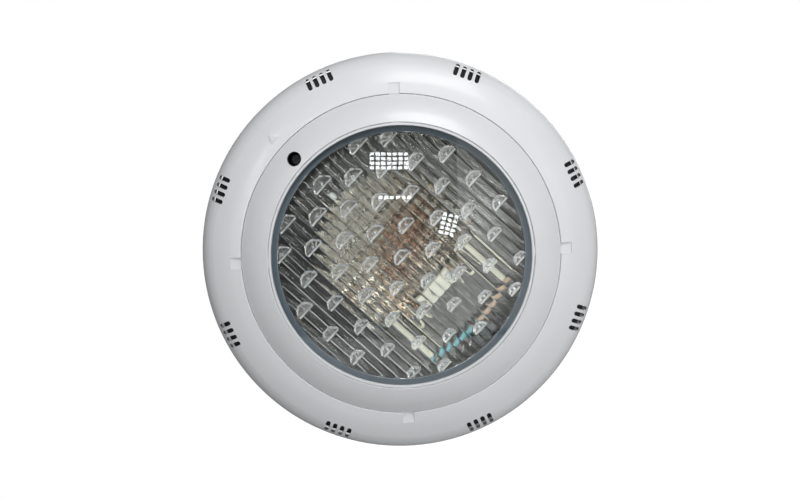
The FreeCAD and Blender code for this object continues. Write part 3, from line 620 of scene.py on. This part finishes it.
def ribbed_lens():
    """The lens with its ribbed inner face, its prisms' glass with painted brightness, and their chords
    with a rough surface and a painted highlight.
    """
    blank = bpy.data.objects.new("blank", lens_blank())
    field = bpy.data.objects.new("field", lens_field())
    keep_rim = bpy.data.objects.new("keep_rim", rim_keeper())
    both = bpy.data.objects.new("both", combine(field, keep_rim, "UNION"))
    lens = combine(blank, both, "INTERSECT")
    piece = new_piece("ribbed_lens", lens, lens_glass, "front_frame", "lens")
    smooth(piece, 32.0)
    piece.data.materials.append(prism_glass)
    piece.data.materials.append(chord_glass_painted_highlight)
    for face in piece.data.polygons:
        x, _, z = face.center
        on_prism = prism_depth(x, z) > flute_depth(x)
        if on_prism and face.normal.y > 0 and math.hypot(x, z) < RIBBED_RADIUS:
            on_chord = prism_depth(x, z - CHORD_SLOPE) <= 0
            face.material_index = 2 if on_chord else 1


ribbed_lens()


# ---------------------------------------------------------------- the faceted reflector

FACET = 8.6 * mm
FACET_HEIGHT = 0.9 * mm
FACET_LIFT = 0.05 * mm
FACET_FADE = 2 * mm
DISH_UP = 9.0 * mm
DISH_LUG = 2.2 * mm
DISH_THICKNESS = 0.4 * mm
DISH_FLOOR = 1.0 * mm
DISH_RINGS = 46
DISH_STEPS = 220

# The gap in the dish for the lampholder, cut with a box that reaches past the dish.
HOLDER_NOTCH_SIDE = 15.3 * mm
HOLDER_NOTCH_TOP = -23.5 * mm
HOLDER_NOTCH_FOOT = -45 * mm
HOLDER_NOTCH_OUT = 30 * mm


def reflector_facets(centre_up, rim_out, dish_radius, dip):
    """A thin dish whose front is pressed into rows of small pillows."""
    mesh = bmesh.new()
    front = []
    back = []
    for ring in range(1, DISH_RINGS + 1):
        radius = dish_radius * ring / DISH_RINGS
        floor_out = rim_out - dip * (1 - (radius / dish_radius) ** 2)
        fade = min(1.0, (dish_radius - radius) / FACET_FADE)
        front_ring = []
        back_ring = []
        for step in range(DISH_STEPS):
            angle = 2 * math.pi * step / DISH_STEPS
            x = radius * math.cos(angle)
            up = radius * math.sin(angle)
            swell = abs(math.cos(math.pi * x / FACET) * math.cos(math.pi * up / FACET)) ** 0.7
            front_out = floor_out + FACET_HEIGHT * swell * fade + FACET_LIFT
            back_out = floor_out - DISH_THICKNESS
            front_ring.append(mesh.verts.new((x, -front_out, centre_up + up)))
            back_ring.append(mesh.verts.new((x, -back_out, centre_up + up)))
        front.append(front_ring)
        back.append(back_ring)
    for rows in (front, back):
        middle_out = rim_out - dip + (FACET_HEIGHT if rows is front else -DISH_THICKNESS)
        centre = mesh.verts.new((0, -middle_out, centre_up))
        for step in range(DISH_STEPS):
            after = (step + 1) % DISH_STEPS
            mesh.faces.new((centre, rows[0][step], rows[0][after]))
            for inner, outer in zip(rows, rows[1:]):
                mesh.faces.new((inner[step], outer[step], outer[after], inner[after]))
    for step in range(DISH_STEPS):
        after = (step + 1) % DISH_STEPS
        mesh.faces.new((front[-1][step], back[-1][step], back[-1][after], front[-1][after]))
    bmesh.ops.recalc_face_normals(mesh, faces=mesh.faces)
    data = bpy.data.meshes.new("reflector_facets")
    mesh.to_mesh(data)
    mesh.free()
    return data


def box_mesh(low, high):
    """A plain box between two corners."""
    mesh = bmesh.new()
    bmesh.ops.create_cube(mesh, size=1.0)
    for vert in mesh.verts:
        for axis in range(3):
            vert.co[axis] = low[axis] if vert.co[axis] < 0 else high[axis]
    data = bpy.data.meshes.new("box")
    mesh.to_mesh(data)
    mesh.free()
    return data


def welded_copy(node):
    """A closed copy of a CAD node's mesh, its split edges joined again."""
    mesh = bmesh.new()
    mesh.from_mesh(nodes[node].data)
    bmesh.ops.remove_doubles(mesh, verts=mesh.verts, dist=1e-6)
    data = bpy.data.meshes.new(node + "_copy")
    mesh.to_mesh(data)
    mesh.free()
    return data


def reflector():
    """The reflector with its pressed facets, notched for the lampholder."""
    back_out, rim_out = out_of("reflector")
    dish_radius = radius_of("reflector") - DISH_LUG
    dish = reflector_facets(DISH_UP, rim_out, dish_radius, rim_out - back_out - DISH_FLOOR)
    notch_low = (-HOLDER_NOTCH_SIDE, -HOLDER_NOTCH_OUT, HOLDER_NOTCH_FOOT)
    notch_high = (HOLDER_NOTCH_SIDE, 0, HOLDER_NOTCH_TOP)
    facets = bpy.data.objects.new("facets", dish)
    notch = bpy.data.objects.new("notch", box_mesh(notch_low, notch_high))
    cut = bpy.data.objects.new("cut", combine(facets, notch, "DIFFERENCE"))
    solid = bpy.data.objects.new("solid", welded_copy("reflector"))
    whole = combine(solid, cut, "UNION")
    piece = new_piece(
        "faceted_reflector", whole, reflector_metal, "light_unit", "reflector"
    )
    smooth(piece, 40.0)


reflector()


# ---------------------------------------------------------------- the lamp's filament

def swept(name, points, radius, sides=8):
    """A closed round tube along a line of points."""
    mesh = bmesh.new()
    rings = []
    side = None
    for index, point in enumerate(points):
        before = points[max(index - 1, 0)]
        after = points[min(index + 1, len(points) - 1)]
        along = (after - before).normalized()
        side = along.orthogonal() if side is None else side - along * side.dot(along)
        side.normalize()
        over = along.cross(side)
        ring = []
        for step in range(sides):
            angle = 2 * math.pi * step / sides
            ring.append(mesh.verts.new(point + (side * math.cos(angle) + over * math.sin(angle)) * radius))
        rings.append(ring)
    for near, far in zip(rings, rings[1:]):
        for step in range(sides):
            after = (step + 1) % sides
            mesh.faces.new((near[step], near[after], far[after], far[step]))
    mesh.faces.new(rings[0])
    mesh.faces.new(rings[-1])
    bmesh.ops.recalc_face_normals(mesh, faces=mesh.faces)
    data = bpy.data.meshes.new(name)
    mesh.to_mesh(data)
    mesh.free()
    return data


WIRE_RADIUS = 0.13 * mm
COIL_TURNS = 11
COIL_STEPS = 16
LEG_INSET = 0.35 * mm
LEG_GAP = 0.4 * mm


def filament():
    """A coiled tungsten wire between its two upright legs."""
    low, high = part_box("lamp_filament")
    coil_radius = (high[1] - low[1]) / 2 - WIRE_RADIUS
    half = (high[0] - low[0]) / 2 - LEG_INSET
    axis = Vector((0, (low[1] + high[1]) / 2, high[2] - (high[1] - low[1]) / 2))
    foot = low[2] + WIRE_RADIUS
    leg_top = axis.z - coil_radius - LEG_GAP
    points = [Vector((-half, axis.y, foot)), Vector((-half, axis.y, leg_top))]
    for step in range(COIL_TURNS * COIL_STEPS + 1):
        angle = 2 * math.pi * step / COIL_STEPS
        across = -half + 2 * half * step / (COIL_TURNS * COIL_STEPS)
        spoke = Vector((0, math.sin(angle), -math.cos(angle))) * coil_radius
        points.append(Vector((across, axis.y, axis.z)) + spoke)
    points.append(Vector((half, axis.y, leg_top)))
    points.append(Vector((half, axis.y, foot)))
    data = swept("filament_wire", points, WIRE_RADIUS)
    piece = new_piece("coiled_filament", data, tungsten, "lamp", "lamp_filament")
    smooth(piece, 50.0)


filament()


# ---------------------------------------------------------------- camera, floor and light

# The light's own top is turned in the picture, and the camera leans a little off straight on.
# Both directions are measured from the picture's right, towards its top.
TOP_IN_PICTURE = math.radians(137.6)
CAMERA_TILT = math.radians(5.15)
TILT_TOWARDS = math.radians(101.5)
CAMERA_DISTANCE = 0.57

# The camera looks at a place in the outline's plane. The outline takes this share of the width.
SILHOUETTE_OUT = 6 * mm
SILHOUETTE_SHARE = 0.4919
TARGET_UP = 1.7 * mm
TARGET_RIGHT = -0.6 * mm

x_axis = Vector((1, 0, 0))
up_axis = Vector((0, 0, 1))
picture_right = x_axis * math.sin(TOP_IN_PICTURE) + up_axis * math.cos(TOP_IN_PICTURE)
picture_up = -x_axis * math.cos(TOP_IN_PICTURE) + up_axis * math.sin(TOP_IN_PICTURE)
lean = picture_right * math.cos(TILT_TOWARDS) + picture_up * math.sin(TILT_TOWARDS)
towards_camera = Vector((0, -math.cos(CAMERA_TILT), 0)) + lean * math.sin(CAMERA_TILT)
target = Vector((0, -SILHOUETTE_OUT, 0)) + picture_up * TARGET_UP + picture_right * TARGET_RIGHT

camera_data = bpy.data.cameras.new("camera")
camera_data.sensor_width = 36.0
camera_data.lens = 36.0 * CAMERA_DISTANCE * (SILHOUETTE_SHARE / 2) / trim_radius
camera = bpy.data.objects.new("camera", camera_data)
bpy.context.scene.collection.objects.link(camera)
camera_right = picture_up.cross(towards_camera).normalized()
camera_up = towards_camera.cross(camera_right).normalized()
turn = Matrix((camera_right, camera_up, towards_camera)).transposed()
camera.matrix_world = Matrix.Translation(target + towards_camera * CAMERA_DISTANCE) @ turn.to_4x4()
bpy.context.scene.camera = camera

picture_axes = Matrix((picture_right, picture_up, Vector((0, -1, 0)))).transposed().to_4x4()


def softbox(name, right, up, width, height, radiance, distance=1.0):
    """A rectangular light facing the wall, placed by its centre in the picture's own axes."""
    data = bpy.data.lights.new(name, "AREA")
    data.shape = "RECTANGLE"
    data.size = width
    data.size_y = height
    data.energy = radiance * math.pi * width * height
    lamp = bpy.data.objects.new(name, data)
    bpy.context.scene.collection.objects.link(lamp)
    place = picture_right * right + picture_up * up + Vector((0, -distance, 0))
    lamp.matrix_world = Matrix.Translation(place) @ picture_axes
    return lamp


# Each has its place right and up and its width and height, in metres, then its radiance, and its
# distance in metres where that is not 1.
softbox("key", 0.20, 0.90, 0.55, 0.40, 10.5, 0.75)
softbox("right_panel", 0.60, 0.25, 0.76, 1.25, 1.0)
softbox("lower_panel", 0.15, -0.62, 1.2, 0.44, 1.0)
softbox("left_strip", -0.70, 0.30, 0.08, 0.8, 12.0)
softbox("upper_strip", -0.10, 0.52, 0.7, 0.05, 12.0)
softbox("right_strip", 0.95, 0.20, 0.06, 0.7, 12.0)

rear = softbox("rear", 0.5, 0.6, 1.0, 1.0, 2.2, -1.0)
rear.matrix_world = rear.matrix_world @ Matrix.Rotation(math.pi, 4, "X")


PANE_PITCH = 38 * mm
PANE_ROW_PITCH = PANE_PITCH * 0.8
PANE_HALF_WIDTH = PANE_PITCH * 0.36
PANE_HALF_HEIGHT = PANE_PITCH * 0.28
WINDOW_DISTANCE = 2.0

pane_light, _, pane_shader = new_material("window_panes")
pane_shader.inputs["Base Color"].default_value = (0, 0, 0, 1)
pane_shader.inputs["Emission Color"].default_value = (0.92, 0.97, 1.0, 1.0)
pane_shader.inputs["Emission Strength"].default_value = 22.0


def window(name, right, up, columns, rows, turn=0.0):
    """A window of bright panes for the lens to mirror, seen at angles right and up of straight on."""
    mesh = bmesh.new()
    for row in range(rows):
        for column in range(columns):
            x = (column - (columns - 1) / 2) * PANE_PITCH
            y = (row - (rows - 1) / 2) * PANE_ROW_PITCH
            corners = []
            for across, over in ((-1, -1), (1, -1), (1, 1), (-1, 1)):
                corner = (x + across * PANE_HALF_WIDTH, y + over * PANE_HALF_HEIGHT, 0)
                corners.append(mesh.verts.new(corner))
            mesh.faces.new(corners)
    data = bpy.data.meshes.new(name)
    mesh.to_mesh(data)
    mesh.free()
    panes = bpy.data.objects.new(name, data)
    direction = Vector((0, -1, 0)) + picture_up * math.tan(up) + picture_right * math.tan(right)
    side = picture_up.cross(direction).normalized()
    upward = direction.normalized().cross(side)
    facing = Matrix((side, upward, direction.normalized())).transposed().to_4x4()
    spin = Matrix.Rotation(turn, 4, "Z")
    panes.matrix_world = Matrix.Translation(direction * WINDOW_DISTANCE) @ facing @ spin
    panes.visible_camera = False
    data.materials.append(pane_light)
    bpy.context.scene.collection.objects.link(panes)


window("window", math.radians(-1.3), math.radians(12.7), 7, 4)
window("lower_window", math.radians(-0.2), math.radians(5.9), 6, 1)
window("side_window", math.radians(9.9), math.radians(0.8), 3, 5, math.radians(-15))


def world():
    """White behind the object for the camera, a softer grey as light."""
    made = bpy.data.worlds.new("studio")
    made.use_nodes = True
    tree = made.node_tree
    soft = tree.nodes["Background"]
    soft.inputs["Color"].default_value = (1.0, 1.0, 1.0, 1.0)
    soft.inputs["Strength"].default_value = 0.14
    bright = tree.nodes.new("ShaderNodeBackground")
    bright.inputs["Color"].default_value = (1.0, 1.0, 1.0, 1.0)
    bright.inputs["Strength"].default_value = 1.0
    path = tree.nodes.new("ShaderNodeLightPath")
    either = tree.nodes.new("ShaderNodeMixShader")
    tree.links.new(path.outputs["Is Camera Ray"], either.inputs[0])
    tree.links.new(soft.outputs[0], either.inputs[1])
    tree.links.new(bright.outputs[0], either.inputs[2])
    tree.links.new(either.outputs[0], tree.nodes["World Output"].inputs["Surface"])
    bpy.context.scene.world = made


FLOOR_RADIUS = 9.0
FLOOR_DROP = 1.3


def floor():
    """A wide pale floor, well below the light on its wall."""
    mesh = bmesh.new()
    bmesh.ops.create_circle(mesh, cap_ends=True, radius=FLOOR_RADIUS, segments=96)
    data = bpy.data.meshes.new("floor")
    mesh.to_mesh(data)
    mesh.free()
    plane = bpy.data.objects.new("floor", data)
    plane.location.z = -FLOOR_DROP
    material, tree, shader = new_material("floor_paint")
    shader.inputs["Roughness"].default_value = 0.9
    shader.inputs["Emission Color"].default_value = (1, 1, 1, 1)
    path = tree.nodes.new("ShaderNodeLightPath")
    tree.links.new(path.outputs["Is Camera Ray"], shader.inputs["Emission Strength"])
    tree.links.new(
        ramp(tree, noise(tree, 3.0), [(0.3, (0.9, 0.9, 0.9)), (0.7, (0.93, 0.93, 0.93))]),
        shader.inputs["Base Color"],
    )
    data.materials.append(material)
    bpy.context.scene.collection.objects.link(plane)


world()
floor()
bpy.context.scene.view_settings.view_transform = "Standard"
